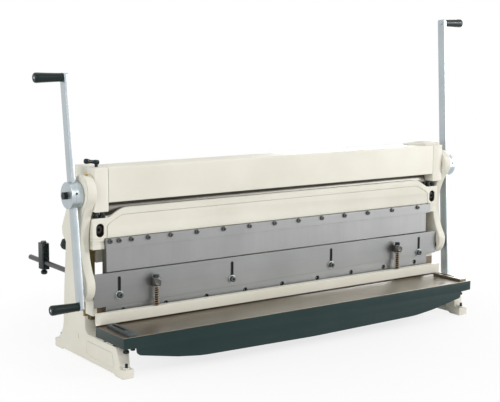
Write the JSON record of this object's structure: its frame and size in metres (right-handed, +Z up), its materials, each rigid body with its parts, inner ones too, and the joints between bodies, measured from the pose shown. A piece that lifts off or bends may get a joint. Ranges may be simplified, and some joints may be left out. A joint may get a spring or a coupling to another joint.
{
  "type": "combination shear brake roll",
  "caption": "Hand-cranked sheet-metal machine on two cast end frames: a shear with a table, a finger brake above it and a slip roll on top, driven by long handle bars.",
  "frame": {"origin": "on the floor, midway between the four foot bolt holes", "axes": "+X along the rolls to the right of someone at the table, +Y to the back, +Z up"},
  "size_m": [1.7092, 0.7475, 1.0545],
  "materials": {
    "cream_paint": "semi-gloss",
    "slate_paint": "satin",
    "ground_steel": "ground",
    "roll_steel": "oiled",
    "zinc_plate": "satin plated",
    "black_plastic": "glossy",
    "black_steel": "black oxide",
    "spring_steel": "oiled"
  },
  "bodies": {
    "frame": {"left_end_frame": "cream_paint", "right_end_frame": "cream_paint", "right_roll_cap": "cream_paint", "top_beam": "cream_paint", "finger_beam": "cream_paint", "beam_seats": "cream_paint", "beam_adjusters": "black_steel", "finger_clamp": "ground_steel", "brake_fingers": "ground_steel", "ram_guides": "ground_steel", "table": "slate_paint", "lower_blade": "ground_steel", "side_guides": "black_steel"},
    "crank": {"crank_shaft": "roll_steel", "crank_hubs": "zinc_plate", "handle_bars": "zinc_plate", "handle_grips": "black_plastic", "hub_bolts": "black_steel"},
    "ram": {"ram_beam": "cream_paint", "vee_die": "ground_steel", "front_plate": "ground_steel", "upper_blade": "ground_steel", "ram_links": "cream_paint", "link_pins": "black_steel", "hold_down_lugs": "black_steel", "gauge_rods": "black_steel", "hold_down_springs": "spring_steel"},
    "hold_down": {"hold_down_bar": "cream_paint", "hold_down_screws": "black_steel"},
    "lower_roll": {"lower_roll": "roll_steel"},
    "rear_rolls": {"rear_roll": "roll_steel", "rear_roll_blocks": "black_steel"},
    "left_knob": {"left_roll_knob": "black_plastic"},
    "right_knob": {"right_roll_knob": "black_plastic"},
    "clamp_lever": {"roll_clamp_lever": "black_plastic"},
    "left_gauge": {"left_gauge_block": "black_steel", "left_gauge_screw": "black_steel"},
    "right_gauge": {"right_gauge_block": "black_steel", "right_gauge_screw": "black_steel"}
  },
  "joints": [
    {"name": "crank_turn", "type": "hinge", "parent": "frame", "child": "crank", "pos_m": [0, -0.031, 0.521], "axis": [1, 0, 0], "range_deg": [0, 120]},
    {"name": "ram_slide", "type": "slide", "parent": "frame", "child": "ram", "axis": [0, 0, 1], "range_m": [-0.0192, 0]},
    {"name": "hold_down_slide", "type": "slide", "parent": "ram", "child": "hold_down", "axis": [0, 0, 1], "range_m": [0, 0.0152], "deforming": ["hold_down_springs"]},
    {"name": "lower_roll_spin", "type": "hinge", "parent": "frame", "child": "lower_roll", "pos_m": [0, -0.014, 0.473], "axis": [1, 0, 0], "range_deg": [-120.5, 0]},
    {"name": "rear_roll_lift", "type": "slide", "parent": "frame", "child": "rear_rolls", "axis": [0, -0.573, 0.8195], "range_m": [0, 0.018]},
    {"name": "left_knob_turn", "type": "hinge", "parent": "rear_rolls", "child": "left_knob", "pos_m": [-0.6836, 0.172, 0.337], "axis": [0, -0.573, 0.8195], "continuous": true},
    {"name": "right_knob_turn", "type": "hinge", "parent": "rear_rolls", "child": "right_knob", "pos_m": [0.6836, 0.172, 0.337], "axis": [0, -0.573, 0.8195], "continuous": true},
    {"name": "clamp_lever_turn", "type": "hinge", "parent": "frame", "child": "clamp_lever", "pos_m": [-0.6836, -0.04, 0.601], "axis": [0, 0, 1], "range_deg": [-90, 20]},
    {"name": "left_gauge_slide", "type": "slide", "parent": "ram", "child": "left_gauge", "axis": [0, 1, 0], "range_m": [-0.23, 0.085]},
    {"name": "right_gauge_slide", "type": "slide", "parent": "ram", "child": "right_gauge", "axis": [0, 1, 0], "range_m": [-0.23, 0.085]}
  ],
  "couplings": [
    {"joint": "ram_slide", "follows": "crank_turn", "m_per_rad": -0.0090969},
    {"joint": "hold_down_slide", "follows": "crank_turn", "m_per_rad": 0.0071871},
    {"joint": "lower_roll_spin", "follows": "crank_turn", "ratio": -1}
  ]
}
